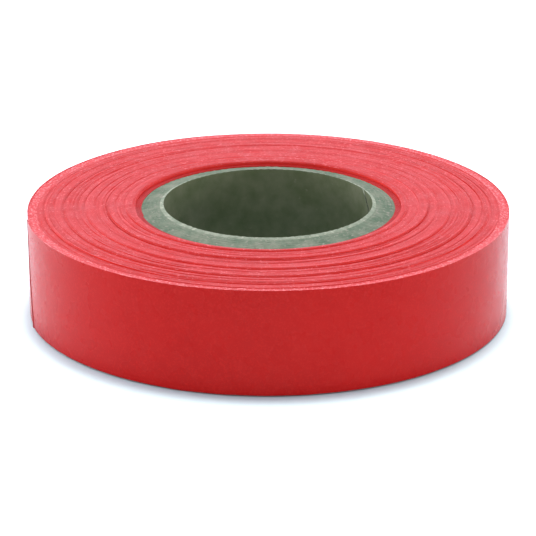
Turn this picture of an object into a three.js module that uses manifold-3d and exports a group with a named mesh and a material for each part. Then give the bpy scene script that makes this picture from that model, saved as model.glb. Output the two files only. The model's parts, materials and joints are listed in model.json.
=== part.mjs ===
// A roll of insulating tape lying on its side: a paper core wound from spiral plies, and one long
// strip of adhesive-coated film wound on it, whose free end peels off the outside.
// Millimetres, +Z up. The origin is on the roll's axis, on the surface that the roll lies on.
import * as THREE from "three";
import { mergeVertices } from "three/addons/utils/BufferGeometryUtils.js";
import Module from "manifold-3d";

// ---- Driving dimensions -------------------------------------------------------------------

// The core: a tube of paper plies, cut off with its ends sloping down from the bore outwards.
const coreBore = 38.1; // inner diameter
const plyThickness = 0.7;
const plyNames = [
  "core_liner_ply",
  "core_ply_2",
  "core_ply_3",
  "core_ply_4",
  "core_ply_5",
  "core_outer_ply",
];
const coreShortfall = 0.55; // how much shorter the core is than the tape is wide
const coreLift = 0.5; // height of the core's outer bottom edge above the surface
const coreEndSlope = 0.179; // rise of the core's ends for each millimetre towards the bore
const glueLine = 0.02; // gap between two plies, and between the core and the first turn
const plySeamWidth = 0.4; // gap where a ply's edges meet
const plySeamAngle = 47; // lean of that seam from the vertical, in degrees
const linerSeamAzimuth = 24; // where the liner's seam reaches its top edge, in degrees

// The tape: its width, its two layers, and how it is wound.
const tapeWidth = 19.05;
const filmThickness = 0.155;
const adhesiveThickness = 0.038;
const coatGap = 0.005; // gap between the film and its adhesive
const turnGap = 0.02; // gap between two lengths of tape that lie on each other
const turnCount = 95;
const turnEndGap = 0.08; // gap along the tape where one length carries on from another

// The wound lengths from the core outwards: the share of the inner turns that each one ends at,
// and how high it sits. The turns next to the core sit low, the next ones stand proud, and the
// roll slopes down outwards.
const wound = [
  { name: "starting_turns", endShare: 0.053, rise: 0.15 },
  { name: "winding_01", endShare: 0.117, rise: 0.72 },
  { name: "winding_02", endShare: 0.202, rise: 0.6 },
  { name: "winding_03", endShare: 0.298, rise: 0.66 },
  { name: "winding_04", endShare: 0.383, rise: 0.48 },
  { name: "winding_05", endShare: 0.489, rise: 0.53 },
  { name: "winding_06", endShare: 0.574, rise: 0.36 },
  { name: "winding_07", endShare: 0.67, rise: 0.42 },
  { name: "winding_08", endShare: 0.755, rise: 0.24 },
  { name: "winding_09", endShare: 0.84, rise: 0.3 },
  { name: "winding_10", endShare: 0.926, rise: 0.1 },
  { name: "winding_11", endShare: 1, rise: 0 },
];
const outerTurnRise = 0.15; // height of the outermost turn and the tail above the surface

// The tail: the free end of the tape, in short stiff lengths with a bend line between them.
const tipAzimuth = 193; // where the tape ends, at half its width, in degrees
const tailLengths = 7;
const tailStep = 10; // arc of each length, in degrees
const tipSlant = 6; // how much further the top of the cut end reaches than its foot, in degrees
const bendGap = 0.1; // gap at a bend line, along the tape

// ---- Values worked out from them ----------------------------------------------------------

const facetCount = 90; // flats round a full turn
const facetStep = 360 / facetCount;
const overrun = 1; // how far a cutter runs past what it cuts
const coreLength = tapeWidth - coreShortfall;
const coreRadius = coreBore / 2 + plyNames.length * plyThickness;
const coatDepth = filmThickness + coatGap; // depth of the adhesive under the tape's outer face
const turnPitch = coatDepth + adhesiveThickness + turnGap; // radial growth for each turn
const radians = THREE.MathUtils.degToRad;

const colours = { film: 0xc4241f, adhesive: 0x8e1f22, paper: 0x8f9684 };

function material(colour, roughness) {
  return new THREE.MeshStandardMaterial({ color: colour, roughness, metalness: 0 });
}
const filmMaterial = material(colours.film, 0.35);
const adhesiveMaterial = material(colours.adhesive, 0.2);
const paperMaterial = material(colours.paper, 0.9);

const wasm = await Module();
wasm.setup();

// ---- Helpers ------------------------------------------------------------------------------

function polar(radius, azimuth) {
  const angle = radians(azimuth);
  return new THREE.Vector2(radius * Math.cos(angle), radius * Math.sin(angle));
}

// Degrees of arc that a length along the tape covers at a radius.
function arcOf(length, radius) {
  return THREE.MathUtils.radToDeg(length / radius);
}

// The outer face of the tape, a given number of turns out from the core.
function tapeRadius(turn) {
  return coreRadius + glueLine + turnPitch * turn;
}

// The turn whose outer face is at an azimuth measured from the tip, on the outermost turn.
function outermostTurnAt(azimuthFromTip) {
  return turnCount - azimuthFromTip / 360;
}

// A closed block swept through stations. Each station is four corners, in the same order.
function sweptBlock(stations) {
  const positions = stations.flat().flatMap((p) => [p.x, p.y, p.z]);
  const indices = [];
  const quad = (a, b, c, d) => indices.push(a, b, c, a, c, d);
  for (let i = 0; i < stations.length - 1; i++)
    for (let corner = 0; corner < 4; corner++) {
      const next = (corner + 1) % 4;
      quad(4 * i + corner, 4 * i + next, 4 * (i + 1) + next, 4 * (i + 1) + corner);
    }
  quad(3, 2, 1, 0);
  const last = 4 * (stations.length - 1);
  quad(last, last + 1, last + 2, last + 3);
  const geometry = new THREE.BufferGeometry();
  geometry.setAttribute("position", new THREE.Float32BufferAttribute(positions, 3));
  geometry.setIndex(indices);
  return geometry;
}

// A wall round the axis that leans sideways: its middle goes from one azimuth to another.
function leaningWall({ innerRadius, outerRadius, foot, top, footAzimuth, topAzimuth, arc }) {
  const rows = Math.ceil(Math.abs(topAzimuth - footAzimuth) / facetStep);
  const stations = [];
  for (let row = 0; row <= rows; row++) {
    const share = row / rows;
    const azimuth = footAzimuth + (topAzimuth - footAzimuth) * share;
    const corner = (radius, side) => {
      const p = polar(radius, azimuth + (side * arc) / 2);
      return new THREE.Vector3(p.x, p.y, foot + (top - foot) * share);
    };
    stations.push([
      corner(innerRadius, -1),
      corner(outerRadius, -1),
      corner(outerRadius, 1),
      corner(innerRadius, 1),
    ]);
  }
  return sweptBlock(stations);
}

function solidOf(geometry) {
  const bare = geometry.clone();
  bare.deleteAttribute("normal");
  bare.deleteAttribute("uv");
  const merged = mergeVertices(bare, 1e-4);
  return new wasm.Manifold(
    new wasm.Mesh({
      numProp: 3,
      vertProperties: merged.attributes.position.array,
      triVerts: new Uint32Array(merged.index.array),
    }),
  );
}

function geometryOf(solid) {
  const mesh = solid.getMesh();
  const geometry = new THREE.BufferGeometry();
  geometry.setAttribute("position", new THREE.BufferAttribute(mesh.vertProperties, 3));
  geometry.setIndex(new THREE.BufferAttribute(mesh.triVerts, 1));
  geometry.computeVertexNormals();
  return geometry;
}

function part(name, geometry, partMaterial) {
  const mesh = new THREE.Mesh(geometry, partMaterial);
  mesh.name = name;
  return mesh;
}

// ---- The core -----------------------------------------------------------------------------

// One ply as a plain ring with sloping ends.
function plyRing(innerRadius, outerRadius) {
  const endHeight = (radius) => coreLift + coreEndSlope * (coreRadius - radius);
  const bottom = (radius) => new THREE.Vector2(radius, endHeight(radius));
  const top = (radius) => new THREE.Vector2(radius, endHeight(radius) + coreLength);
  const profile = [
    bottom(innerRadius),
    bottom(outerRadius),
    top(outerRadius),
    top(innerRadius),
    bottom(innerRadius),
  ];
  const ring = new THREE.LatheGeometry(profile, facetCount).rotateX(Math.PI / 2);
  return ring.rotateZ(radians(tipAzimuth)); // its flats line up with the tape's
}

// The narrow leaning gap that a ply's edges leave, as a cutter that runs past both ends.
function seamCutter(innerRadius, outerRadius, topAzimuth) {
  const middle = (innerRadius + outerRadius) / 2;
  const foot = coreLift - overrun;
  const top = coreLift + coreLength + coreEndSlope * (coreRadius - innerRadius) + overrun;
  const lean = arcOf(Math.tan(radians(plySeamAngle)) * (top - foot), middle);
  return leaningWall({
    innerRadius: innerRadius - overrun,
    outerRadius: outerRadius + overrun,
    foot,
    top,
    footAzimuth: topAzimuth - lean,
    topAzimuth,
    arc: arcOf(plySeamWidth, middle),
  });
}

function corePlies() {
  return plyNames.map((name, index) => {
    const innerRadius = coreBore / 2 + index * plyThickness;
    const outerRadius = innerRadius + plyThickness - glueLine;
    // Each ply starts a share of a turn further on, so that no two seams lie on each other.
    const seamAzimuth = linerSeamAzimuth + (index * 360) / plyNames.length;
    const ring = solidOf(plyRing(innerRadius, outerRadius));
    const cut = ring.subtract(solidOf(seamCutter(innerRadius, outerRadius, seamAzimuth)));
    return part(name, geometryOf(cut), paperMaterial);
  });
}

// ---- The wound tape -----------------------------------------------------------------------

// The spiral outline of the tape's outer face over the last full turn before endTurn, moved out
// by clearance. The outline steps in where that turn starts, and the step is early by lead degrees.
function spiralOutline(endTurn, clearance, lead) {
  const points = [];
  if (lead) points.push(polar(tapeRadius(endTurn) + clearance, tipAzimuth - lead));
  for (let i = 0; i < facetCount; i++) {
    const radius = tapeRadius(endTurn - i / facetCount) + clearance;
    points.push(polar(radius, tipAzimuth + i * facetStep));
  }
  points.push(polar(tapeRadius(endTurn - 1) + clearance, tipAzimuth + 360 - lead));
  return points;
}

function circleOutline(radius) {
  const azimuths = Array.from({ length: facetCount }, (_, i) => tipAzimuth + i * facetStep);
  return azimuths.map((azimuth) => polar(radius, azimuth));
}

function woundLengths() {
  const endTurns = wound.map(({ endShare }) => Math.round(endShare * (turnCount - 1)));
  return wound.map(({ name, rise }, index) => {
    const endTurn = endTurns[index];
    const startTurn = index ? endTurns[index - 1] : 0;
    const shape = new THREE.Shape(spiralOutline(endTurn, 0, 0));
    const hole = startTurn
      ? spiralOutline(startTurn, turnGap, arcOf(turnEndGap, tapeRadius(startTurn)))
      : circleOutline(coreRadius + glueLine);
    shape.holes.push(new THREE.Path(hole));
    const geometry = new THREE.ExtrudeGeometry(shape, { depth: tapeWidth, bevelEnabled: false });
    geometry.translate(0, 0, rise);
    return part(name, geometry, filmMaterial);
  });
}

// A length of the outermost turn between two azimuths counted from the tip, between two depths
// under the tape's outer face. Its flats line up with those of the turns below.
function outermostLength(startAzimuth, endAzimuth, outerDepth, innerDepth) {
  const azimuths = [startAzimuth];
  const firstLine = Math.ceil(startAzimuth / facetStep - 1);
  const lastLine = Math.floor(endAzimuth / facetStep + 1);
  for (let line = firstLine; line >= lastLine; line--) azimuths.push(line * facetStep);
  azimuths.push(endAzimuth);
  const stations = azimuths.map((azimuth) => {
    const corner = (depth, z) => {
      const p = polar(tapeRadius(outermostTurnAt(azimuth)) - depth, tipAzimuth + azimuth);
      return new THREE.Vector3(p.x, p.y, z);
    };
    const foot = outerTurnRise;
    const top = outerTurnRise + tapeWidth;
    return [
      corner(innerDepth, foot),
      corner(outerDepth, foot),
      corner(outerDepth, top),
      corner(innerDepth, top),
    ];
  });
  return sweptBlock(stations);
}

function outerTurn() {
  const start = 360 - arcOf(turnEndGap, tapeRadius(turnCount));
  const end = tailLengths * tailStep + arcOf(bendGap / 2, tapeRadius(turnCount));
  const geometry = outermostLength(start, end, 0, coatDepth + adhesiveThickness);
  return part("outer_turn", geometry, filmMaterial);
}

// What is cut off the end of the tape: a wall whose near face is the slanting cut.
function tipCutter() {
  const arc = 2 * facetStep + tipSlant;
  const azimuth = tipAzimuth - arc / 2;
  return leaningWall({
    innerRadius: tapeRadius(turnCount) - overrun,
    outerRadius: tapeRadius(turnCount) + overrun,
    foot: outerTurnRise - overrun,
    top: outerTurnRise + tapeWidth + overrun,
    footAzimuth: azimuth + tipSlant / 2,
    topAzimuth: azimuth - tipSlant / 2,
    arc,
  });
}

// One layer of one length of the tail. The lengths count up from the peel line to the tip.
function tailLayer(index, outerDepth, innerDepth) {
  const halfGap = arcOf(bendGap / 2, tapeRadius(turnCount));
  const start = (tailLengths - index + 1) * tailStep - halfGap;
  if (index < tailLengths) {
    const end = (tailLengths - index) * tailStep + halfGap;
    return outermostLength(start, end, outerDepth, innerDepth);
  }
  const uncutEnd = -Math.ceil(tipSlant / facetStep) * facetStep;
  const uncut = outermostLength(start, uncutEnd, outerDepth, innerDepth);
  return geometryOf(solidOf(uncut).subtract(solidOf(tipCutter())));
}

// The tail, from the peel line to the tip: each length is a film and its adhesive.
function tail() {
  const meshes = [];
  for (let index = 1; index <= tailLengths; index++) {
    const film = tailLayer(index, 0, filmThickness);
    const adhesive = tailLayer(index, coatDepth, coatDepth + adhesiveThickness);
    meshes.push(part("tail_film_" + index, film, filmMaterial));
    meshes.push(part("tail_adhesive_" + index, adhesive, adhesiveMaterial));
  }
  return meshes;
}

// ---- The roll -----------------------------------------------------------------------------

const roll = new THREE.Group();
roll.add(...corePlies());
roll.add(...woundLengths());
roll.add(outerTurn());
roll.add(...tail());

export default roll;
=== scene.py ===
# %% [markdown]
# A roll of electrical tape, lying on its side. The plain solids of the roll are already there, with
# the right sizes and places. This notebook gives them their looks: strips wound in real spirals, a
# core of paper plies with sawn ends, and finishes for soft vinyl, adhesive and chipboard.
# Lengths are in metres, and mm is a millimetre, so that 19 * mm reads as it should.

# %% Load the plain roll
import json
import math

import bpy
import numpy as np
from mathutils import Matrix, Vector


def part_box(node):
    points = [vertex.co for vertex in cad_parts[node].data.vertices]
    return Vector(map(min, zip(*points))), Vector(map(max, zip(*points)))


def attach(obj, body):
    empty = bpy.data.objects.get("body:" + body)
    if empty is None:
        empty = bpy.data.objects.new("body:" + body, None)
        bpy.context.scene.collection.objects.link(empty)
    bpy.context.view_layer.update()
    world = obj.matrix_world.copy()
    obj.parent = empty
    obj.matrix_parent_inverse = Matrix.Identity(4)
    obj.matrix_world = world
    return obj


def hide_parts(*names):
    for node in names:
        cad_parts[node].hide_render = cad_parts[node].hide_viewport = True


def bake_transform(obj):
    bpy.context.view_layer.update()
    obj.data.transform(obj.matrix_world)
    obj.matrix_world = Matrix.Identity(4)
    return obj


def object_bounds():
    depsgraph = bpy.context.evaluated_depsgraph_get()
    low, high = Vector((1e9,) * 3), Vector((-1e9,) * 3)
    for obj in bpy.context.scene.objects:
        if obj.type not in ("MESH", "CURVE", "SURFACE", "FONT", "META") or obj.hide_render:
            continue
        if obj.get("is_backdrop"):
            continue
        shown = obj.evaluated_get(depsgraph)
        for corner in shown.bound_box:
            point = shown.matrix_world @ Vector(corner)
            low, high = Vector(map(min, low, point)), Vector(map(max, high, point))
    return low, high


mm = 0.001
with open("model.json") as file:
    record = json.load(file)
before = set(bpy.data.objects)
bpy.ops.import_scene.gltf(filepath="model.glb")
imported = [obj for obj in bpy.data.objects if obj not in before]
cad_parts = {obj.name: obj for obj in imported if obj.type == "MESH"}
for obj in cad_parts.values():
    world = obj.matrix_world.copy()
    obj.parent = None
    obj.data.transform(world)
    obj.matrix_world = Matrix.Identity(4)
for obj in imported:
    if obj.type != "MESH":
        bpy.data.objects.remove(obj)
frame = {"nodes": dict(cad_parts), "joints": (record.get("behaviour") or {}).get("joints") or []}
cad_low, cad_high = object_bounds()
joints = {joint["name"]: joint for joint in frame["joints"]}
print("plain roll:", len(frame["nodes"]), "solids,", [round(v / mm, 2) for v in cad_high - cad_low])

# %% [markdown]
# The camera stands a good way off with a long lens, as a product photographer's would, so the roll is
# hardly foreshortened. Its distance is counted in roll radii, and it looks down a little.

# %% Camera
roll_radius = (cad_high.x - cad_low.x) / 2
distance_in_radii = 12
camera_distance = distance_in_radii * roll_radius
camera_elevation = math.radians(21.14)
aim_height = 7.1 * mm
camera_data = bpy.data.cameras.new("studio_camera")
camera_data.lens = 191.3
camera_data.clip_end = 20
camera = bpy.data.objects.new("studio_camera", camera_data)
bpy.context.scene.collection.objects.link(camera)
camera.location = (
    0,
    -camera_distance * math.cos(camera_elevation),
    camera_distance * math.sin(camera_elevation),
)
drop = camera.location.z - aim_height
camera.rotation_euler = (math.pi / 2 - math.atan2(drop, -camera.location.y), 0, 0)
bpy.context.scene.camera = camera
print("camera", [round(v, 4) for v in camera.location])

# %% [markdown]
# The strip is one long spiral. Its outer face is a given number of turns out from the core, and each
# turn adds one thickness of tape. The bend lines of the free end lie halfway through the tape's
# thickness, so they tell how far out the last turn is and where the strip ends.

# %% The spiral's sizes
turn_count = 95
film_thickness = 0.155 * mm
adhesive_thickness = 0.038 * mm
coat_gap = 0.005 * mm
tape_thickness = film_thickness + adhesive_thickness + coat_gap
glue_line = 0.04 * mm
tape_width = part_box("outer_turn")[1].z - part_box("outer_turn")[0].z
outer_turn_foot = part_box("outer_turn")[0].z
bend_names = ["tail_peel"] + sorted(name for name in joints if name.startswith("tail_bend"))
bend_azimuths = [
    math.atan2(joints[name]["pos_m"][1], joints[name]["pos_m"][0]) % (2 * math.pi)
    for name in bend_names
]
tail_step = (bend_azimuths[0] - bend_azimuths[-1]) / (len(bend_names) - 1)
tip_azimuth = bend_azimuths[-1] - tail_step
peel_turn = turn_count - (bend_azimuths[0] - tip_azimuth) / (2 * math.pi)
peel_radius = math.hypot(*joints["tail_peel"]["pos_m"][:2]) + tape_thickness / 2
core_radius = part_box("core_outer_ply")[1].x
turn_pitch = (peel_radius - core_radius - glue_line) / peel_turn


def face_radius(turn):
    """How far from the roll's axis the strip's outer face is."""
    return peel_radius - turn_pitch * (peel_turn - turn)


def azimuth_at(turn):
    return tip_azimuth + 2 * math.pi * (turn_count - turn)


print("each turn adds", round(turn_pitch / mm, 4), "mm; the tip is at", math.degrees(tip_azimuth))

# %% [markdown]
# The wound turns aren't level. The winding slopes up towards the core, and on the way it falls into
# bands: the edge of the strip rises to a lip, drops over a turn or two, and starts again. The drops
# wander in and out as they go round, because the strip moves sideways as it is wound.
# Where each band ends and how high it sits are read from the plain solids.

# %% Bands of the winding
band_names = ["starting_turns"] + sorted(n for n in frame["nodes"] if n.startswith("winding"))


def last_turn(node):
    low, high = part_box(node)
    mean_radius = (high.x - low.x + high.y - low.y) / 4
    return math.ceil((mean_radius - face_radius(0)) / turn_pitch)


band_ends = [last_turn(name) for name in band_names]
band_rises = [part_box(name)[0].z for name in band_names] + [outer_turn_foot]
print("bands end at turns", band_ends)

# %% [markdown]
# Three things make the slit edges uneven on a real roll, and each has its own random values. At the
# drop between two bands there is a lip and then a groove. Finer grooves come and go round the roll,
# where a turn or two was pulled in deeper. And every turn sits a hair higher or lower than the last.
# The seed keeps the values the same each time.

# %% Random values along the strip
randomness = np.random.default_rng(19)
jitter_knots_per_turn = 9
fine_grooves = 20
innermost_groove_turn = 7
outermost_groove_turn = turn_count - 2
jitter_values = randomness.normal(0, 1, (turn_count + 1) * jitter_knots_per_turn)
wander_phases = randomness.uniform(0, 2 * math.pi, (len(band_ends), 4))
fine_groove_turns = np.sort(
    randomness.uniform(innermost_groove_turn, outermost_groove_turn, fine_grooves)
)
fine_groove_phases = randomness.uniform(0, 2 * math.pi, (fine_grooves, 3))
print("fine grooves at turns", fine_groove_turns.round(1))

# %% [markdown]
# A groove or a lip could be painted, but only a real one catches the light as the roll is turned. So
# each is a small bump in the height, a turn or two wide and up to a fifth of a millimetre high or
# deep. Places and widths are counted in turns. Sums of sines with different phases make it stronger
# here and weaker there.

# %% Shapes of the drops and grooves
sharp_drop = 1.4
soft_drop = 4.2
wander_turns = 1.9
lip_height = 0.04 * mm
lip_before_drop = 1.4
lip_width = 1.3
groove_depth = 0.17 * mm
groove_after_drop = 0.9
groove_width = 0.8
fine_groove_depth = 0.14 * mm
fine_groove_width = 0.85
fine_wander_turns = 1.3


def smooth_step(value):
    share = np.clip(value, 0, 1)
    return share * share * (3 - 2 * share)


def bump_round(distance, width):
    """1 where the distance is 0, and falling away smoothly on both sides."""
    return np.exp(-((distance / width) ** 2))


def band_drop(turn, azimuth, index):
    """The fall from one band to the next, and the lip and groove that go with it."""
    first, second, third, fourth = wander_phases[index]
    free = wander_turns if index else 0
    wander = free * (0.7 * np.sin(azimuth + first) + 0.3 * np.sin(2 * azimuth + second))
    past = turn - (band_ends[index] + wander)
    softness = 0.5 + 0.3 * np.sin(2 * azimuth + third) + 0.2 * np.sin(5 * azimuth + fourth)
    drop_turns = sharp_drop + (softness * (soft_drop - sharp_drop) if index else 0)
    fall = (band_rises[index + 1] - band_rises[index]) * smooth_step(past / drop_turns + 0.5)
    lip = lip_height * (1 - softness) * bump_round(past + lip_before_drop, lip_width)
    groove = groove_depth * (1 - 0.5 * softness) * bump_round(past - groove_after_drop, groove_width)
    return fall, lip - groove


def fine_groove(turn, azimuth, middle, phases):
    """The depth of one fine groove, which fades in and out round the roll."""
    first, second, third = phases
    past = turn - middle - fine_wander_turns * np.sin(azimuth + first)
    strength = 0.35 + 0.5 * np.sin(azimuth + second) + 0.4 * np.sin(4 * azimuth + third)
    strength += 0.25 * np.sin(13 * azimuth + 2 * second) + 0.2 * np.sin(37 * azimuth + first)
    return fine_groove_depth * np.clip(strength, 0, 1.2) * bump_round(past, fine_groove_width)


# %% [markdown]
# One function adds these up. It says how high the strip's lower edge is at any turn and azimuth. The
# lips and grooves are calmer at the back of the roll. In front, the last few turns have been pushed
# up a little, together with the outermost one.

# %% Height of the strip's edge
back_calm = 0.7
turn_jitter = 0.005 * mm
rim_lift = 0.16 * mm
rim_lift_turns = 8


def edge_height(turn, azimuth):
    height = np.full_like(turn, band_rises[0])
    uneven = 1 - back_calm * smooth_step(np.sin(azimuth))
    for index in range(len(band_ends) - 1):
        fall, lip_and_groove = band_drop(turn, azimuth, index)
        height += fall
        height += uneven * lip_and_groove
    for middle, phases in zip(fine_groove_turns, fine_groove_phases):
        height -= uneven * fine_groove(turn, azimuth, middle, phases)
    knots = np.arange(len(jitter_values)) / jitter_knots_per_turn
    height += turn_jitter * np.interp(turn, knots, jitter_values)
    share_lifted = smooth_step((turn - turn_count) / rim_lift_turns + 1)
    height += rim_lift * share_lifted * (1 - np.sin(azimuth)) / 2
    return np.maximum(height, 0)


every_turn = np.arange(turn_count, dtype=float)
front_heights = edge_height(every_turn, np.full(turn_count, -math.pi / 2))
print("in front, up to", round(front_heights.max() / mm, 2), "mm above the ground")

# %% [markdown]
# An operator acts on all that is selected, so before each one the right piece or the right edges are
# selected in code. Edges are picked by their direction, which stays true when a size is changed.

# %% Select a piece or its edges
nearly_all = 0.999


def only(piece):
    bpy.ops.object.select_all(action="DESELECT")
    piece.select_set(True)
    bpy.context.view_layer.objects.active = piece


def select_edges(mesh, axis):
    """Selects the edges that run along one axis."""
    for edge in mesh.edges:
        a, b = (mesh.vertices[i].co for i in edge.vertices)
        step = b - a
        edge.select = abs(step[axis]) > nearly_all * step.length


# %% [markdown]
# Moving thousands of points one by one is slow, so they are read into one array of numbers, moved
# together, and written back. The flat place of each point is kept as a UV map in metres, so that the
# cut at the strip's end can still be found when the strip is wound.

# %% Read and move the points of a piece


def points_of(piece):
    points = np.empty(len(piece.data.vertices) * 3)
    piece.data.vertices.foreach_get("co", points)
    return points.reshape(-1, 3)


def move_points(piece, points):
    piece.data.vertices.foreach_set("co", points.astype(np.float32).ravel())
    piece.data.update()


def length_of(strip):
    """The length that a flat strip came out at, a hair off the one that was asked for."""
    return points_of(strip)[:, 0].max()


def keep_flat_place(strip):
    while strip.data.uv_layers:
        strip.data.uv_layers.remove(strip.data.uv_layers[0])
    layer = strip.data.uv_layers.new(name="strip")
    corners = np.empty(len(strip.data.loops), dtype=np.int32)
    strip.data.loops.foreach_get("vertex_index", corners)
    layer.data.foreach_set("uv", points_of(strip)[corners, :2].astype(np.float32).ravel())


# %% [markdown]
# Every strip here, of tape or of paper, starts as a flat bar: one short piece of it is modelled from a
# cube, with its long edges bevelled, and an Array modifier repeats it along X. Width runs along Y, and
# the outer face is at Z = 0. Rows across the width let the broad face take a shape later. Both ends
# are closed, and cut into triangles while they are still flat, because a leaning seam bends them out
# of a plane later.

# %% A flat strip


def bar_without_ends(name, length, width, thickness):
    bpy.ops.object.select_all(action="DESELECT")
    bpy.ops.mesh.primitive_cube_add(size=1, location=(length / 2, width / 2, -thickness / 2))
    bar = bpy.context.active_object
    bar.name = name
    bar.data.name = name
    bar.scale = (length, width, thickness)
    bpy.ops.object.transform_apply(location=True, rotation=True, scale=True)
    for face in bar.data.polygons:
        face.select = abs(face.normal.x) > 0.5
    bpy.ops.object.mode_set(mode="EDIT")
    bpy.ops.mesh.select_mode(type="FACE")
    bpy.ops.mesh.delete(type="ONLY_FACE")
    bpy.ops.mesh.select_mode(type="EDGE")
    bpy.ops.mesh.select_all(action="DESELECT")
    bpy.ops.object.mode_set(mode="OBJECT")
    return bar


def bevel_and_cut_rows(bar, edge_round, rows):
    """Rounds the four edges along X, and cuts the faces that have edges along Y into rows."""
    select_edges(bar.data, 0)
    bpy.ops.object.mode_set(mode="EDIT")
    bpy.ops.mesh.bevel(offset=edge_round, segments=2, affect="EDGES")
    bpy.ops.mesh.select_all(action="DESELECT")
    bpy.ops.object.mode_set(mode="OBJECT")
    if rows > 1:
        select_edges(bar.data, 1)
        bpy.ops.object.mode_set(mode="EDIT")
        bpy.ops.mesh.subdivide(number_cuts=rows - 1)
        bpy.ops.object.mode_set(mode="OBJECT")


def repeat_along(bar, cells):
    array = bar.modifiers.new("along", "ARRAY")
    array.count = cells
    array.use_merge_vertices = True
    array.merge_threshold = 0.002 * mm
    bpy.ops.object.modifier_apply(modifier=array.name)


def close_ends():
    """Closes both ends of the active strip."""
    bpy.ops.object.mode_set(mode="EDIT")
    bpy.ops.mesh.select_all(action="SELECT")
    bpy.ops.mesh.fill_holes(sides=0)
    bpy.ops.mesh.select_mode(type="FACE")
    bpy.ops.mesh.select_face_by_sides(number=4, type="GREATER")
    bpy.ops.mesh.quads_convert_to_tris(ngon_method="BEAUTY")
    bpy.ops.object.mode_set(mode="OBJECT")


def flat_strip(name, length, width, thickness, cells, rows, edge_round):
    strip = bar_without_ends(name, length / cells, width, thickness)
    bevel_and_cut_rows(strip, edge_round, rows)
    repeat_along(strip, cells)
    close_ends()
    keep_flat_place(strip)
    return strip


# %% [markdown]
# Winding the strip on is a change of coordinates. The distance from the strip's outer end becomes a
# turn, the turn gives the azimuth and the radius, and the width becomes height. Blender's own Simple
# Deform modifier bends to a circle only, and a spiral needs each turn to lie on the last one, so the
# points are moved by the formula.

# %% Wind a strip on the roll
crease = math.radians(20)


def shade_with_creases(piece):
    only(piece)
    bpy.ops.object.shade_smooth_by_angle(angle=crease)


def wind(strip, length, first_turn, end_turn, height_of, depth=0, curl=0):
    """Winds a flat strip on. Depth puts its face below that of the film, and curl lifts it."""
    flat = points_of(strip)
    turn = end_turn - (end_turn - first_turn) * flat[:, 0] / length
    azimuth = azimuth_at(turn)
    radius = face_radius(turn) - depth + flat[:, 2] + curl
    height = flat[:, 1] + height_of(turn, azimuth)
    wound = np.column_stack([radius * np.cos(azimuth), radius * np.sin(azimuth), height])
    move_points(strip, wound)
    shade_with_creases(strip)


def triangles_in(piece):
    piece.data.calc_loop_triangles()
    return len(piece.data.loop_triangles)


# %% [markdown]
# The wound bands. Each is a stretch of the spiral, several turns long, with a real gap between its
# turns, so the face of the roll is made of slit edges as it is on a real one. A solid ring with
# painted lines would need fewer points, but its lines would stay flat from every side.

# %% Wound tape
cells_per_turn = 240
edge_round = 0.028 * mm
gap_between_turns = 0.008 * mm
wound_thickness = turn_pitch - gap_between_turns
wound_pieces = []
for index, name in enumerate(band_names):
    first_turn = band_ends[index - 1] if index else 0
    turns = band_ends[index] - first_turn
    length = turns * 2 * math.pi * face_radius(band_ends[index])
    cells = turns * cells_per_turn
    piece = flat_strip("wound_" + name, length, tape_width, wound_thickness, cells, 1, edge_round)
    wind(piece, length_of(piece), first_turn, band_ends[index], edge_height)
    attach(piece, "roll")
    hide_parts(name)
    wound_pieces.append(piece)
print("wound tape:", sum(triangles_in(piece) for piece in wound_pieces), "triangles")

# %% [markdown]
# The outermost turn shows its broad face. It was laid on by hand, so it leans: a little up in front
# and down at the back, and it wavers as it goes round. It isn't quite smooth either. It follows the
# turns under it in long shallow waves, so its face has rows of points across its width to carry them.

# %% Shape of the outermost turn
wave_height = 0.012 * mm
outer_turn_slip = 0.14 * mm
slow_waver = 0.03 * mm
quick_waver = 0.02 * mm


def outer_height(turn, azimuth):
    waver = slow_waver * np.sin(3 * azimuth + 1) + quick_waver * np.sin(7 * azimuth)
    return np.maximum(outer_turn_foot + waver - outer_turn_slip * np.sin(azimuth), 0)


def press_on_turns_below(piece):
    """Gives a wound strip the long shallow waves of the turns under it."""
    points = points_of(piece)
    azimuth = np.arctan2(points[:, 1], points[:, 0])
    share = points[:, 2] / tape_width
    wave = np.sin(11 * azimuth + 4 * share) * np.sin(5 * azimuth - 6 * share)
    swell = 1 + wave_height * wave / roll_radius
    points[:, :2] *= swell[:, None]
    move_points(piece, points)


# %% [markdown]
# This turn is one long strip like the others, with more cells to the turn, because its broad face is
# in plain sight. It ends where the free end begins.

# %% Outermost turn
face_rows = 16
face_cells_per_turn = 360
inner_turn = turn_count - 1
outer_turns = peel_turn - inner_turn
outer_cells = round(outer_turns * face_cells_per_turn)
outer_length = outer_turns * 2 * math.pi * peel_radius
outer_turn = flat_strip(
    "outer_turn_tape", outer_length, tape_width, tape_thickness, outer_cells, face_rows, edge_round
)
wind(outer_turn, length_of(outer_turn), inner_turn, peel_turn, outer_height)
press_on_turns_below(outer_turn)
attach(outer_turn, "roll")
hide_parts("outer_turn")
print("outer turn:", triangles_in(outer_turn), "triangles")

# %% [markdown]
# The strip was cut off by hand, so the cut at its end slants and isn't quite straight, and the foot
# of the cut has let go of the roll by a hair. Both are given to the last stretch while it is
# still flat: points near the cut are shifted along the strip, and the lift is worked out for later.

# %% The slanting cut
tip_slant = math.radians(6)
tip_lift = 0.14 * mm
lift_length = 0.9 * mm
coarse_raggedness = 0.06 * mm
fine_raggedness = 0.04 * mm


def slant_the_cut(strip):
    """Shears the flat strip's outer end, which is at X = 0, and makes the cut a little uneven."""
    flat = points_of(strip)
    share_left = 1 - flat[:, 0] / length_of(strip)
    across = flat[:, 1] / tape_width
    shift = (0.5 - across) * tip_slant * peel_radius
    shift += coarse_raggedness * np.sin(23 * across) + fine_raggedness * np.sin(51 * across + 2)
    flat[:, 0] += shift * share_left
    move_points(strip, flat)


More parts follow.
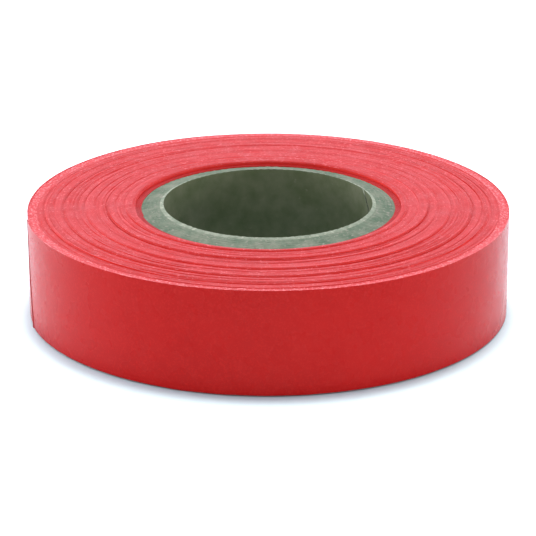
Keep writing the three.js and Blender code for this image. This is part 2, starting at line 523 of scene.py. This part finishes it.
def curl_at_the_cut(strip):
    """How far each point stands off the roll: most at the foot of the cut."""
    flat = points_of(strip)
    across = flat[:, 1] / tape_width
    return tip_lift * (1 - 0.8 * across) * np.clip(1 - flat[:, 0] / lift_length, 0, 1) ** 2


# %% [markdown]
# The free end is wound on in stretches, each from its own bend line to the next. Film and adhesive are
# separate strips, one on the other.

# %% Free end
cells_per_stretch = 20
tip_cells = 80
stretch_length = tail_step * peel_radius
last_stretch = len(bend_azimuths)
layers = {
    "film": {"thickness": film_thickness, "depth": 0, "edge_round": edge_round},
    "adhesive": {
        "thickness": adhesive_thickness,
        "depth": film_thickness,
        "edge_round": edge_round / 4,
    },
}
tail = {"film": [], "adhesive": []}


def tail_stretch(layer, number, azimuth):
    """One layer of one stretch, wound on from its own bend line to the next."""
    sizes = layers[layer]
    name = "tail_" + layer + "_tape_" + str(number)
    thickness = sizes["thickness"]
    cells = tip_cells if number == last_stretch else cells_per_stretch
    strip = flat_strip(
        name, stretch_length, tape_width, thickness, cells, face_rows, sizes["edge_round"]
    )
    curl = 0
    if number == last_stretch:
        curl = curl_at_the_cut(strip)
        slant_the_cut(strip)
    first_turn = turn_count - (azimuth - tip_azimuth) / (2 * math.pi)
    end_turn = first_turn + tail_step / (2 * math.pi)
    wind(strip, stretch_length, first_turn, end_turn, outer_height, sizes["depth"], curl)
    press_on_turns_below(strip)
    return strip


for index, azimuth in enumerate(bend_azimuths):
    number = index + 1
    for layer, pieces in tail.items():
        strip = tail_stretch(layer, number, azimuth)
        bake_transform(strip)
        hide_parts("tail_" + layer + "_" + str(number))
        pieces.append(strip)
print("free end:", len(tail["film"]), "stretches of film,", len(tail["adhesive"]), "of adhesive")

# %% [markdown]
# The core is a tube of six paper plies. Each ply is a leaning strip whose two edges meet along a
# spiral seam, glued on the ply inside it. A plain tube would be quicker, but the seam in the bore and
# the ends of the plies would be missing. The ends are sawn, so they slope with the roll's face and
# are a little fuzzy, and the liner stands up in a burr round the bore.

# %% Shape of a paper ply
ply_names = ["core_liner_ply"] + sorted(n for n in frame["nodes"] if n.startswith("core_ply"))
ply_names.append("core_outer_ply")
ply_thickness = 0.7 * mm
ply_gap = 0.006 * mm
seam_lean = math.tan(math.radians(47))
liner_seam_azimuth = math.radians(24)
ply_cells = 360
ply_rows = 24
end_fuzz = 0.05 * mm
burr_height = 0.16 * mm
core_inside = core_radius - len(ply_names) * ply_thickness
end_slope = 0.179


def roll_ply(strip, index):
    """Rolls a flat ply into a tube, with its seam leaning and its ends sloping."""
    flat = points_of(strip)
    height_share = flat[:, 1] / flat[:, 1].max()
    outer = core_inside + (index + 1) * ply_thickness - ply_gap
    middle = outer - ply_thickness / 2
    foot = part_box(ply_names[index])[0].z
    seam_top = liner_seam_azimuth + index * 2 * math.pi / len(ply_names)
    azimuth = seam_top + flat[:, 0] / middle - (flat[:, 1].max() - flat[:, 1]) * seam_lean / middle
    radius = outer + flat[:, 2]
    end_share = smooth_step(1 - np.minimum(height_share, 1 - height_share) * ply_rows)
    fuzz = np.sin(31 * azimuth + 5 * index) * np.sin(53 * azimuth + 3) + np.sin(97 * azimuth)
    slope = end_slope * (outer - radius)
    height = foot + flat[:, 1] + slope + end_fuzz * fuzz * end_share / 2
    if index == 0:
        share_inwards = (outer - radius) / ply_thickness
        height += burr_height * end_share * share_inwards * np.sign(height_share - 0.5)
    rolled = np.column_stack([radius * np.cos(azimuth), radius * np.sin(azimuth), height])
    move_points(strip, rolled)
    shade_with_creases(strip)


# %% [markdown]
# Each ply is cut to the length that goes once round at its own radius, less the gap at its seam. The
# liner's seam has opened, so its gap is wider.

# %% Paper plies
liner_seam_gap = 0.7 * mm
seam_gap = 0.08 * mm
ply_edge_round = 0.03 * mm
ply_pieces = []
for index, name in enumerate(ply_names):
    middle = core_inside + (index + 0.5) * ply_thickness
    low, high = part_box(name)
    length = 2 * math.pi * middle - (seam_gap if index else liner_seam_gap)
    width = high.z - low.z - end_slope * ply_thickness
    thickness = ply_thickness - ply_gap
    ply = flat_strip("paper_" + name, length, width, thickness, ply_cells, ply_rows, ply_edge_round)
    roll_ply(ply, index)
    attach(ply, "roll")
    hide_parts(name)
    ply_pieces.append(ply)
print("core:", len(ply_pieces), "plies,", sum(triangles_in(p) for p in ply_pieces), "triangles")

# %% [markdown]
# Materials come next. Two effects are used by all of the roll's finishes, so each is a shader node
# group built once: flecks, which scatters small specks of a second colour, and grain, which gives a
# fine height for bump and a value for roughness. First come three helpers, to add a node, to set its
# inputs by name and to start a group.

# %% Helpers for nodes


def add_node(tree, kind, x, y, **settings):
    node = tree.nodes.new(kind)
    node.location = (x, y)
    for name, value in settings.items():
        setattr(node, name, value)
    return node


def set_inputs(node, **values):
    for name, value in values.items():
        node.inputs[name.replace("_", " ")].default_value = value


def new_group(name, inputs, outputs):
    group = bpy.data.node_groups.new(name, "ShaderNodeTree")
    for label, kind, default in inputs:
        socket = group.interface.new_socket(label, in_out="INPUT", socket_type=kind)
        if default is not None:
            socket.default_value = default
    for label, kind in outputs:
        group.interface.new_socket(label, in_out="OUTPUT", socket_type=kind)
    given = add_node(group, "NodeGroupInput", -900, 0)
    made = add_node(group, "NodeGroupOutput", 600, 0)
    return group, given.outputs, made.inputs


# %% [markdown]
# Specks show where a noise rises over a threshold. A larger amount lowers the threshold, so more
# specks come up. The change from base to speck is a short ramp, because a hard step would sparkle.

# %% Flecks group
no_flecks_over = 0.72
fleck_ramp = 0.08
flecks, given, made = new_group(
    "flecks",
    [
        ("Vector", "NodeSocketVector", None),
        ("Per Metre", "NodeSocketFloat", 2000.0),
        ("Amount", "NodeSocketFloat", 0.1),
        ("Base", "NodeSocketColor", (0.5, 0.5, 0.5, 1)),
        ("Fleck", "NodeSocketColor", (1, 1, 1, 1)),
    ],
    [("Color", "NodeSocketColor"), ("Mask", "NodeSocketFloat")],
)
noise = add_node(flecks, "ShaderNodeTexNoise", -600, 100)
set_inputs(noise, Detail=2.0, Roughness=0.6)
threshold = add_node(flecks, "ShaderNodeMath", -600, -200, operation="SUBTRACT")
threshold.inputs[0].default_value = no_flecks_over
remap = add_node(flecks, "ShaderNodeMapRange", -300, 0, interpolation_type="SMOOTHSTEP")
upper = add_node(flecks, "ShaderNodeMath", -450, -350, operation="ADD")
upper.inputs[1].default_value = fleck_ramp
mix = add_node(flecks, "ShaderNodeMix", 100, 0, data_type="RGBA")
flecks.links.new(given["Vector"], noise.inputs["Vector"])
flecks.links.new(given["Per Metre"], noise.inputs["Scale"])
flecks.links.new(given["Amount"], threshold.inputs[1])
flecks.links.new(threshold.outputs[0], remap.inputs["From Min"])
flecks.links.new(threshold.outputs[0], upper.inputs[0])
flecks.links.new(upper.outputs[0], remap.inputs["From Max"])
flecks.links.new(noise.outputs["Fac"], remap.inputs["Value"])
flecks.links.new(remap.outputs["Result"], mix.inputs["Factor"])
flecks.links.new(given["Base"], mix.inputs["A"])
flecks.links.new(given["Fleck"], mix.inputs["B"])
flecks.links.new(mix.outputs["Result"], made["Color"])
flecks.links.new(remap.outputs["Result"], made["Mask"])
print("group", flecks.name, "with", len(flecks.nodes), "nodes")

# %% [markdown]
# Grain has two noises. The fine one is the height that the bump node reads. The other is much
# coarser, and moves the roughness between its two ends, so that the gloss isn't even either.

# %% Grain group
coarse_share = 0.06
grain, given, made = new_group(
    "grain",
    [
        ("Vector", "NodeSocketVector", None),
        ("Per Metre", "NodeSocketFloat", 3000.0),
        ("Rough Low", "NodeSocketFloat", 0.3),
        ("Rough High", "NodeSocketFloat", 0.5),
    ],
    [("Height", "NodeSocketFloat"), ("Roughness", "NodeSocketFloat")],
)
fine = add_node(grain, "ShaderNodeTexNoise", -500, 150)
set_inputs(fine, Detail=3.0, Roughness=0.55)
coarse = add_node(grain, "ShaderNodeTexNoise", -500, -150)
set_inputs(coarse, Detail=2.0, Roughness=0.5)
slower = add_node(grain, "ShaderNodeMath", -700, -250, operation="MULTIPLY")
slower.inputs[1].default_value = coarse_share
remap = add_node(grain, "ShaderNodeMapRange", -150, -150)
set_inputs(remap, From_Min=0.3, From_Max=0.7)
grain.links.new(given["Vector"], fine.inputs["Vector"])
grain.links.new(given["Vector"], coarse.inputs["Vector"])
grain.links.new(given["Per Metre"], fine.inputs["Scale"])
grain.links.new(given["Per Metre"], slower.inputs[0])
grain.links.new(slower.outputs[0], coarse.inputs["Scale"])
grain.links.new(coarse.outputs["Fac"], remap.inputs["Value"])
grain.links.new(given["Rough Low"], remap.inputs["To Min"])
grain.links.new(given["Rough High"], remap.inputs["To Max"])
grain.links.new(fine.outputs["Fac"], made["Height"])
grain.links.new(remap.outputs["Result"], made["Roughness"])
print("group", grain.name, "with", len(grain.nodes), "nodes")

# %% [markdown]
# Every finish of the roll has the same skeleton: a base colour with a slow change over the surface, flecks
# on top of it, and grain for bump and roughness. One function builds it from a finish's own values,
# and keeps the shader in the material itself. Bloom is the pale veil that soft vinyl has when it is
# seen at a flat angle, and the shader's sheen gives it.

# %% A finish with slow colour change, flecks and grain
bloom_tint = (1, 0.8, 1, 1)


def finish_material(name, dark, light, fleck, looks):
    material = bpy.data.materials.new(name)
    material.use_nodes = True
    tree = material.node_tree
    shader = tree.nodes["Principled BSDF"]
    shader.inputs["IOR"].default_value = looks["ior"]
    shader.inputs["Specular IOR Level"].default_value = looks["specular"]
    shader.inputs["Sheen Weight"].default_value = looks["bloom"]
    shader.inputs["Sheen Tint"].default_value = bloom_tint
    coordinates = add_node(tree, "ShaderNodeTexCoord", -1300, 0)
    patches = add_node(tree, "ShaderNodeTexNoise", -1000, 250)
    set_inputs(patches, Scale=looks["patches_per_metre"], Detail=4.0, Roughness=0.6)
    spread = add_node(tree, "ShaderNodeMapRange", -800, 250)
    set_inputs(spread, From_Min=0.3, From_Max=0.7)
    base = add_node(tree, "ShaderNodeMix", -600, 250, data_type="RGBA")
    base.inputs["A"].default_value = (*dark, 1)
    base.inputs["B"].default_value = (*light, 1)
    specks = add_node(tree, "ShaderNodeGroup", -350, 150, node_tree=flecks)
    set_inputs(specks, Per_Metre=looks["flecks_per_metre"], Amount=looks["fleck_amount"])
    specks.inputs["Fleck"].default_value = (*fleck, 1)
    surface = add_node(tree, "ShaderNodeGroup", -600, -200, node_tree=grain)
    set_inputs(surface, Per_Metre=looks["grain_per_metre"])
    set_inputs(surface, Rough_Low=looks["rough_low"], Rough_High=looks["rough_high"])
    bump = add_node(tree, "ShaderNodeBump", -300, -300)
    set_inputs(bump, Strength=looks["bump"], Distance=looks["bump_height"])
    for target in (patches, specks, surface):
        tree.links.new(coordinates.outputs["Object"], target.inputs["Vector"])
    tree.links.new(patches.outputs["Fac"], spread.inputs["Value"])
    tree.links.new(spread.outputs["Result"], base.inputs["Factor"])
    tree.links.new(base.outputs["Result"], specks.inputs["Base"])
    tree.links.new(specks.outputs["Color"], shader.inputs["Base Color"])
    tree.links.new(surface.outputs["Roughness"], shader.inputs["Roughness"])
    tree.links.new(surface.outputs["Height"], bump.inputs["Height"])
    tree.links.new(bump.outputs["Normal"], shader.inputs["Normal"])
    return material


# %% [markdown]
# The broad face of the tape is smooth, deep red and soft. It mirrors little when it is looked at
# straight on, so its specular level is low, and its grain is fine and shallow.

# %% Broad face of the tape
vinyl_looks = {
    "ior": 1.5,
    "specular": 0.1,
    "bloom": 0.045,
    "patches_per_metre": 60.0,
    "flecks_per_metre": 2600.0,
    "fleck_amount": 0.2,
    "grain_per_metre": 4200.0,
    "rough_low": 0.23,
    "rough_high": 0.33,
    "bump": 0.35,
    "bump_height": 0.012 * mm,
}
vinyl_face = finish_material(
    "vinyl_face",
    dark=(0.330, 0.0034, 0.0028),
    light=(0.370, 0.0046, 0.0034),
    fleck=(0.39, 0.009, 0.007),
    looks=vinyl_looks,
)
print("made", vinyl_face.name)

# %% [markdown]
# The knives that slit the tape leave its edges dull, with pale specks. The edges of the last turns are
# worn paler by handling. The edges of the first turns are painted darker, as painted shade for the low
# ring next to the core. Near the cut at the free end the film is painted darker too, as painted shade for
# the step at the cut. All of them start from the same looks, and each changes only what sets it apart.

# %% Slit edges of the tape
edge_looks = {
    "ior": 1.5,
    "specular": 0.12,
    "bloom": 0.0,
    "patches_per_metre": 300.0,
    "flecks_per_metre": 2200.0,
    "fleck_amount": 0.12,
    "grain_per_metre": 5200.0,
    "rough_low": 0.38,
    "rough_high": 0.55,
    "bump": 0.5,
    "bump_height": 0.02 * mm,
}
worn_looks = {"fleck_amount": 0.19, "grain_per_metre": 4800.0, "rough_low": 0.40, "rough_high": 0.60}
shade_by_the_core_looks = {"specular": 0.05, "patches_per_metre": 160.0, "fleck_amount": 0.04}
cut_shade_looks = {
    "specular": 0.02,
    "patches_per_metre": 400.0,
    "fleck_amount": 0.04,
    "rough_low": 0.55,
    "rough_high": 0.75,
}
vinyl_edge = finish_material(
    "vinyl_slit_edge",
    dark=(0.225, 0.0030, 0.0028),
    light=(0.325, 0.0230, 0.0250),
    fleck=(0.41, 0.085, 0.090),
    looks=edge_looks,
)
worn_edge = finish_material(
    "vinyl_edge_worn_pale",
    dark=(0.27, 0.016, 0.018),
    light=(0.345, 0.031, 0.035),
    fleck=(0.50, 0.14, 0.145),
    looks={**edge_looks, **worn_looks},
)
# Painted shade: the edges of the first turns are darker for the shade of the low ring next to the core.
first_turns_shaded_edge = finish_material(
    "vinyl_edge_painted_shade_by_the_core",
    dark=(0.16, 0.004, 0.004),
    light=(0.20, 0.006, 0.006),
    fleck=(0.30, 0.05, 0.05),
    looks={**edge_looks, **shade_by_the_core_looks},
)
# Painted shade: the film nearest the cut is darker for the shade and lost sheen where the lifted end
# stands off the turn below.
cut_line = finish_material(
    "vinyl_painted_shade_at_the_cut",
    dark=(0.17, 0.003, 0.003),
    light=(0.24, 0.005, 0.005),
    fleck=(0.28, 0.02, 0.02),
    looks={**edge_looks, **cut_shade_looks},
)
print("made", vinyl_edge.name, worn_edge.name, first_turns_shaded_edge.name, cut_line.name)

# %% [markdown]
# Seen from above, the slit edges make rings: every few turns have their own shade. A noise that
# depends on nothing but the distance from the roll's axis gives them.

# %% Rings of slightly different shades
rings_per_metre = 900.0


def shade_in_rings(material, share):
    """Mixes rings into a material's slow colour change. Share is how much of it they make up."""
    tree = material.node_tree
    patches = tree.nodes["Noise Texture"]
    spread = tree.nodes["Map Range"]
    flat = add_node(tree, "ShaderNodeVectorMath", -1100, -300, operation="MULTIPLY")
    flat.inputs[1].default_value = (1, 1, 0)
    distance = add_node(tree, "ShaderNodeVectorMath", -900, -300, operation="LENGTH")
    rings = add_node(tree, "ShaderNodeTexNoise", -1100, 500, noise_dimensions="1D")
    set_inputs(rings, Scale=rings_per_metre, Detail=3.0, Roughness=0.7)
    both = add_node(tree, "ShaderNodeMix", -900, 500, data_type="FLOAT")
    both.inputs["Factor"].default_value = share
    tree.links.new(tree.nodes["Texture Coordinate"].outputs["Object"], flat.inputs[0])
    tree.links.new(flat.outputs["Vector"], distance.inputs[0])
    tree.links.new(distance.outputs["Value"], rings.inputs["W"])
    tree.links.new(patches.outputs["Fac"], both.inputs["A"])
    tree.links.new(rings.outputs["Fac"], both.inputs["B"])
    tree.links.new(both.outputs["Result"], spread.inputs["Value"])


shade_in_rings(vinyl_edge, 0.6)
shade_in_rings(worn_edge, 0.4)
print("rings about", round(1000 / rings_per_metre, 2), "mm wide on the slit edges")

# %% [markdown]
# Light gets into the grooves between the turns and comes back redder and brighter, because thin vinyl
# lets some of it through. Real translucency is slow and gives noise in gaps this narrow, so the walls
# inside the winding have a lighter red instead. They only show where a groove is open.

# %% Walls between the turns
lit_through = finish_material(
    "vinyl_wall_lit_through",
    dark=(0.58, 0.030, 0.024),
    light=(0.68, 0.045, 0.036),
    fleck=(0.70, 0.10, 0.09),
    looks={
        **edge_looks,
        "specular": 0.1,
        "patches_per_metre": 160.0,
        "fleck_amount": 0.02,
        "bump": 0.3,
    },
)
print("made", lit_through.name)

# %% [markdown]
# The adhesive shows when the free end is peeled. It takes its colour from the film behind it, and is
# tacky, so it is glossier than the film and has a coarser, flowing grain.

# %% Adhesive
adhesive = finish_material(
    "tacky_adhesive",
    dark=(0.30, 0.010, 0.012),
    light=(0.38, 0.016, 0.018),
    fleck=(0.55, 0.08, 0.08),
    looks={
        "ior": 1.48,
        "specular": 0.6,
        "bloom": 0.0,
        "patches_per_metre": 220.0,
        "flecks_per_metre": 1500.0,
        "fleck_amount": 0.08,
        "grain_per_metre": 1600.0,
        "rough_low": 0.12,
        "rough_high": 0.30,
        "bump": 0.4,
        "bump_height": 0.03 * mm,
    },
)
print("made", adhesive.name)

# %% [markdown]
# The core is made of recycled board, grey-green with soft patches. Its sawn ends are rough and scatter all
# light, the lip that the saw left round the bore is paler, and the liner in the bore is smoother and
# darker. The open seam of the liner shows dark glue, painted nearly black so that it also gives the shade
# deep in the gap.

# %% Chipboard
board_looks = {
    "ior": 1.4,
    "specular": 0.15,
    "bloom": 0.0,
    "patches_per_metre": 300.0,
    "flecks_per_metre": 1500.0,
    "fleck_amount": 0.14,
    "grain_per_metre": 3800.0,
    "rough_low": 0.85,
    "rough_high": 1.0,
    "bump": 0.5,
    "bump_height": 0.05 * mm,
}
paper_looks = {
    "specular": 0.25,
    "patches_per_metre": 260.0,
    "flecks_per_metre": 900.0,
    "fleck_amount": 0.05,
    "grain_per_metre": 2400.0,
    "rough_low": 0.7,
    "rough_high": 0.9,
    "bump_height": 0.03 * mm,
}
seam_glue_and_shade_looks = {
    "ior": 1.45,
    "specular": 0.2,
    "patches_per_metre": 400.0,
    "fleck_amount": 0.05,
    "grain_per_metre": 2400.0,
    "rough_low": 0.5,
    "rough_high": 0.8,
    "bump_height": 0.03 * mm,
}
sawn_board = finish_material(
    "sawn_chipboard",
    dark=(0.048, 0.076, 0.050),
    light=(0.114, 0.126, 0.094),
    fleck=(0.130, 0.130, 0.105),
    looks=board_looks,
)
liner_lip = finish_material(
    "liner_lip",
    dark=(0.090, 0.114, 0.082),
    light=(0.175, 0.195, 0.150),
    fleck=(0.22, 0.23, 0.18),
    looks={**board_looks, "patches_per_metre": 700.0, "fleck_amount": 0.12, "bump": 0.8},
)
liner_paper = finish_material(
    "liner_paper",
    dark=(0.066, 0.080, 0.036),
    light=(0.104, 0.112, 0.064),
    fleck=(0.11, 0.115, 0.07),
    looks={**board_looks, **paper_looks},
)
# Glue and painted shade: the inside of the plies behind the liner is nearly black, for the glue and for
# the shade deep in the open seam.
glue_and_shade_in_the_seam = finish_material(
    "glue_and_shade_in_the_seam",
    dark=(0.010, 0.012, 0.007),
    light=(0.018, 0.020, 0.012),
    fleck=(0.03, 0.03, 0.02),
    looks={**board_looks, **seam_glue_and_shade_looks},
)
print("made", sawn_board.name, liner_lip.name, liner_paper.name, glue_and_shade_in_the_seam.name)

# %% [markdown]
# One strip shows three finishes: on its face that looks outwards, on the one that looks in towards
# the roll's axis, and on its slit edges or sawn ends. Cutting it into three pieces would be wrong,
# because it is one strip, so every polygon takes a finish by which way it faces.

# %% Three finishes on one piece
largest_side_lean = 0.25


def per_polygon(piece, quantity):
    values = np.empty(len(piece.data.polygons) * 3)
    piece.data.polygons.foreach_get(quantity, values)
    return values.reshape(-1, 3)


def paint(piece, outside, inside, ends):
    """Slot 0 goes on the faces that look away from the roll's axis, 1 towards it, 2 up or down."""
    for material in (outside, inside, ends):
        piece.data.materials.append(material)
    normals = per_polygon(piece, "normal")
    centres = per_polygon(piece, "center")
    looks_inwards = (normals[:, :2] * centres[:, :2]).sum(axis=1) < 0
    looks_up_or_down = np.abs(normals[:, 2]) > largest_side_lean
    slots = np.where(looks_up_or_down, 2, np.where(looks_inwards, 1, 0))
    piece.data.polygons.foreach_set("material_index", slots.astype(np.int32))
    piece.data.update()


# %% [markdown]
# Of the wound turns only the slit edges are in sight, so their walls all take the lit-through red.
# The last wound length shows its outside too, once the free end is peeled off it.

# %% Give each piece its finishes
paint(wound_pieces[0], lit_through, lit_through, first_turns_shaded_edge)
for piece in wound_pieces[1:-1]:
    paint(piece, lit_through, lit_through, vinyl_edge)
paint(wound_pieces[-1], vinyl_face, lit_through, worn_edge)
paint(outer_turn, vinyl_face, lit_through, worn_edge)
for piece in tail["film"]:
    paint(piece, vinyl_face, vinyl_face, worn_edge)
for piece in tail["adhesive"]:
    paint(piece, adhesive, adhesive, adhesive)
paint(ply_pieces[0], liner_paper, liner_paper, liner_lip)
for piece in ply_pieces[1:]:
    paint(piece, liner_paper, glue_and_shade_in_the_seam, sawn_board)
painted = wound_pieces + [outer_turn] + tail["film"] + tail["adhesive"] + ply_pieces
print("painted", len(painted), "pieces")

# %% [markdown]
# The thin dark line at the cut is a fourth finish, on the last stretch of film only. It is painted shade
# for the step where the lifted cut end stands off the turn below. The strip's UV map still says how far
# along the flat strip each polygon was, so those nearest the cut are found with it.

# %% Dark line at the cut
cut_line_width = 0.7 * mm
tip_film = tail["film"][-1]
tip_film.data.materials.append(cut_line)
cut_slot = len(tip_film.data.materials) - 1
flat_place = tip_film.data.uv_layers["strip"].data
for polygon in tip_film.data.polygons:
    furthest = max(flat_place[corner].uv.x for corner in polygon.loop_indices)
    if furthest < cut_line_width:
        polygon.material_index = cut_slot
print("the cut is marked over", cut_line_width / mm, "mm")

# %% [markdown]
# The roll stands on a plain pale floor, a little green-blue. Bright light makes it look white, and
# the slight colour shows only in the soft shadow where the roll meets it.

# %% Floor
scene = bpy.context.scene
scene.view_settings.view_transform = "Standard"
scene.view_settings.look = "None"
bpy.ops.object.select_all(action="DESELECT")
bpy.ops.mesh.primitive_plane_add(size=6, location=(0, 0, 0))
floor = bpy.context.active_object
floor.name = "studio_floor"
floor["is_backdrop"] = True
floor_paint = bpy.data.materials.new("pale_floor")
floor_paint.use_nodes = True
floor_shader = floor_paint.node_tree.nodes["Principled BSDF"]
floor_shader.inputs["Base Color"].default_value = (0.50, 0.61, 0.62, 1)
floor_shader.inputs["Roughness"].default_value = 0.8
floor_shader.inputs["Specular IOR Level"].default_value = 0.1
floor.data.materials.append(floor_paint)
print("floor ready")

# %% [markdown]
# At a flat angle vinyl mirrors what is round it. The surroundings are bright behind the roll and dim
# in front of it, so the roll's face and its two sides get a pale sheen while the front of the side
# stays deep red. They are also brighter on the left than on the right.

# %% White surroundings
behind_strength = 1.8
front_strength = 0.06
loss_to_the_right = -0.32
world = bpy.data.worlds.new("white_surroundings")
world.use_nodes = True
surroundings = world.node_tree
sky = surroundings.nodes["Background"]
sky.inputs["Color"].default_value = (0.95, 0.95, 1.10, 1)
direction = add_node(surroundings, "ShaderNodeTexCoord", -800, 0)
parts_of_direction = add_node(surroundings, "ShaderNodeSeparateXYZ", -600, 0)
brightness = add_node(surroundings, "ShaderNodeMapRange", -400, 0, interpolation_type="SMOOTHSTEP")
set_inputs(brightness, From_Min=-0.95, From_Max=0.3, To_Min=front_strength, To_Max=behind_strength)
left_share = add_node(surroundings, "ShaderNodeMath", -400, -300, operation="MULTIPLY_ADD")
left_share.inputs[1].default_value = loss_to_the_right
left_share.inputs[2].default_value = 1.0
strength = add_node(surroundings, "ShaderNodeMath", -200, -100, operation="MULTIPLY")
surroundings.links.new(direction.outputs["Generated"], parts_of_direction.inputs["Vector"])
surroundings.links.new(parts_of_direction.outputs["Y"], brightness.inputs["Value"])
surroundings.links.new(parts_of_direction.outputs["X"], left_share.inputs[0])
surroundings.links.new(left_share.outputs["Value"], strength.inputs[0])
surroundings.links.new(brightness.outputs["Result"], strength.inputs[1])
surroundings.links.new(strength.outputs["Value"], sky.inputs["Strength"])
scene.world = world
print("surroundings ready")

# %% [markdown]
# Four softboxes light the roll. The strongest one is overhead and a little behind the roll, gives
# most of the light and lets the soft shadow fall to the front. A weaker one in front opens up the
# side, and one at each end brightens the parts of the side that turn away.

# %% Softboxes


def soft_light(name, place, size, watts, aim):
    data = bpy.data.lights.new(name, "AREA")
    data.size = size
    data.energy = watts
    light = bpy.data.objects.new(name, data)
    scene.collection.objects.link(light)
    light.location = place
    towards = np.array(aim) - np.array(place)
    flat = math.hypot(towards[0], towards[1])
    turn = math.atan2(towards[1], towards[0]) - math.pi / 2
    light.rotation_euler = (math.atan2(flat, -towards[2]), 0, turn)


half_height = (0, 0, 0.01)
soft_light("overhead_softbox", (0.02, 0.12, 0.9), size=0.25, watts=14, aim=(0, 0, 0))
soft_light("front_softbox", (0, -0.75, 0.02), size=0.4, watts=4.6, aim=half_height)
soft_light("left_softbox", (-0.55, 0.16, 0.03), size=0.25, watts=2.8, aim=half_height)
soft_light("right_softbox", (0.55, 0.02, 0.03), size=0.25, watts=2.1, aim=half_height)
print("studio ready with", len(bpy.data.lights), "lights")

# %% [markdown]
# Last, the box of the finished roll is written beside the plain one's, so that the two can be
# compared: new looks must not change the object's size.

# %% Sizes and finish
low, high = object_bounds()
print("finished roll:", [round(v / mm, 2) for v in high - low])
